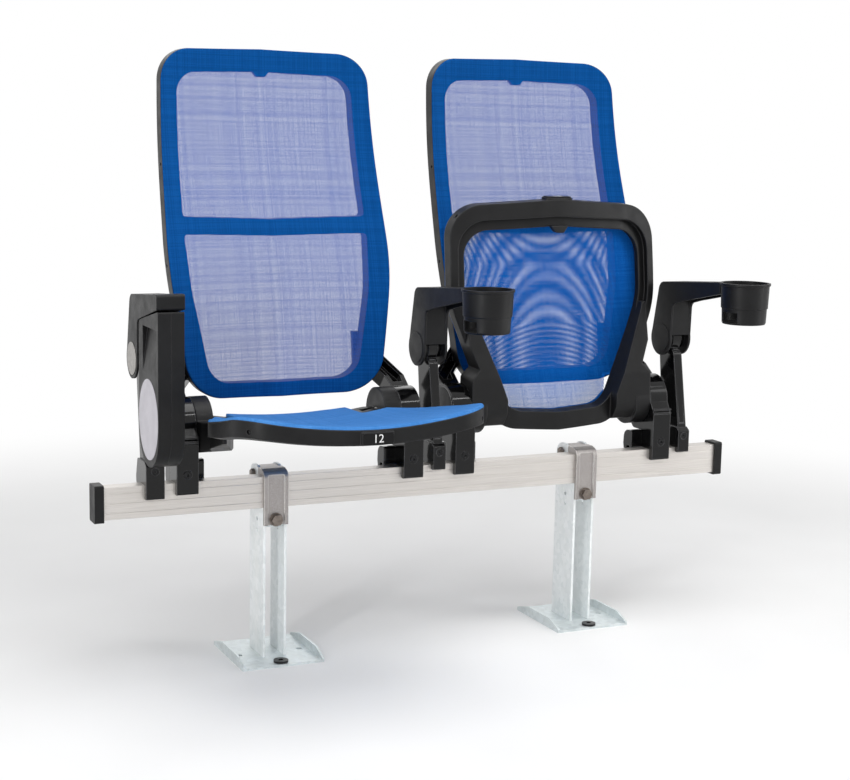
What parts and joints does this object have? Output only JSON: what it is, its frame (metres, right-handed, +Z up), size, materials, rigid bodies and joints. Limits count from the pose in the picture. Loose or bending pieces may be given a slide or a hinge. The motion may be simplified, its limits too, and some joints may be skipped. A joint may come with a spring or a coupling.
{
  "type": "stadium seat",
  "caption": "Beam-mounted tip-up stadium seats with tall mesh backs, hinged armrests, cup holders and an end panel, on bolted floor stands.",
  "frame": {"origin": "on the floor, under the centre of the overall box", "axes": "+X along the beam to the sitter-facing viewer's right, +Y from the front to the back, +Z up"},
  "size_m": [1.241, 0.5991, 1.064],
  "materials": {
    "beam_extrusion": "anodised extrusion with fine lengthwise lines",
    "black_plastic": "moulded, fine satin grain",
    "galvanised_steel": "hot dip galvanised",
    "cast_aluminium": "as cast, tumbled",
    "plated_bolt": "dull plated steel",
    "black_screw": "blackened steel",
    "black_casting": "gloss black powder coat on a casting",
    "bare_metal_cap": "brushed metal cap",
    "blue_mesh": "woven blue mesh, sheer over the windows",
    "number_plate": "black plate with white digits",
    "pin_steel": "ground steel",
    "bush_plastic": "moulded bearing plastic",
    "white_badge": "bare white disc"
  },
  "bodies": {
    "frame": {"arm_pins": "pin_steel", "arm_screws": "black_screw", "arm_upright_left": "black_casting", "arm_upright_mid": "black_casting", "arm_upright_right": "black_casting", "back_frame_left": "black_plastic", "back_frame_right": "black_plastic", "back_mesh_left": "blue_mesh", "back_mesh_right": "blue_mesh", "back_screws": "black_screw", "beam": "beam_extrusion", "beam_cap_left": "black_plastic", "beam_cap_right": "black_plastic", "bracket_screws": "black_screw", "clamp_jaws_left": "black_casting", "clamp_jaws_right": "black_casting", "clamp_nut_left": "galvanised_steel", "clamp_nut_right": "galvanised_steel", "end_panel_inner": "black_plastic", "end_panel_outer": "black_plastic", "floor_bolts": "black_screw", "floor_plate_left": "galvanised_steel", "floor_plate_right": "galvanised_steel", "hub_caps": "black_plastic", "panel_badge": "white_badge", "post_left_a": "galvanised_steel", "post_left_b": "galvanised_steel", "post_right_a": "galvanised_steel", "post_right_b": "galvanised_steel", "saddle_bolts": "plated_bolt", "saddle_left": "cast_aluminium", "saddle_pins": "plated_bolt", "saddle_right": "cast_aluminium", "seat_bracket_left_a": "black_casting", "seat_bracket_left_b": "black_casting", "seat_bracket_right_a": "black_casting", "seat_bracket_right_b": "black_casting", "seat_pins": "pin_steel", "torsion_spring_left": "pin_steel", "torsion_spring_right": "pin_steel"},
    "seat_left": {"bushes_left": "bush_plastic", "number_plate_left": "number_plate", "pan_frame_left": "black_plastic", "pan_mesh_left": "blue_mesh"},
    "seat_right": {"bushes_right": "bush_plastic", "number_plate_right": "number_plate", "pan_frame_right": "black_plastic", "pan_mesh_right": "blue_mesh"},
    "arm_left": {"arm_caps_left": "bare_metal_cap", "arm_front_cap": "black_plastic", "arm_shell_left": "black_plastic"},
    "arm_mid": {"arm_caps_mid": "black_plastic", "arm_shell_mid": "black_plastic", "cup_mid": "black_plastic"},
    "arm_right": {"arm_caps_right": "black_plastic", "arm_shell_right": "black_plastic", "cup_right": "black_plastic"}
  },
  "joints": [
    {"name": "seat_left_hinge", "type": "hinge", "parent": "frame", "child": "seat_left", "pos_m": [0, 0.09042, 0.42], "axis": [-1, 0, 0], "range_deg": [0, 86]},
    {"name": "seat_right_hinge", "type": "hinge", "parent": "frame", "child": "seat_right", "pos_m": [0, 0.09042, 0.42], "axis": [-1, 0, 0], "range_deg": [-86, 0], "stiffness_Nm_per_rad": 6, "springref_deg": 17.19},
    {"name": "arm_left_hinge", "type": "hinge", "parent": "frame", "child": "arm_left", "pos_m": [0, 0.09042, 0.537], "axis": [-1, 0, 0], "range_deg": [0, 95]},
    {"name": "arm_mid_hinge", "type": "hinge", "parent": "frame", "child": "arm_mid", "pos_m": [0, 0.09042, 0.537], "axis": [-1, 0, 0], "range_deg": [0, 95]},
    {"name": "arm_right_hinge", "type": "hinge", "parent": "frame", "child": "arm_right", "pos_m": [0, 0.09042, 0.537], "axis": [-1, 0, 0], "range_deg": [0, 95]}
  ]
}
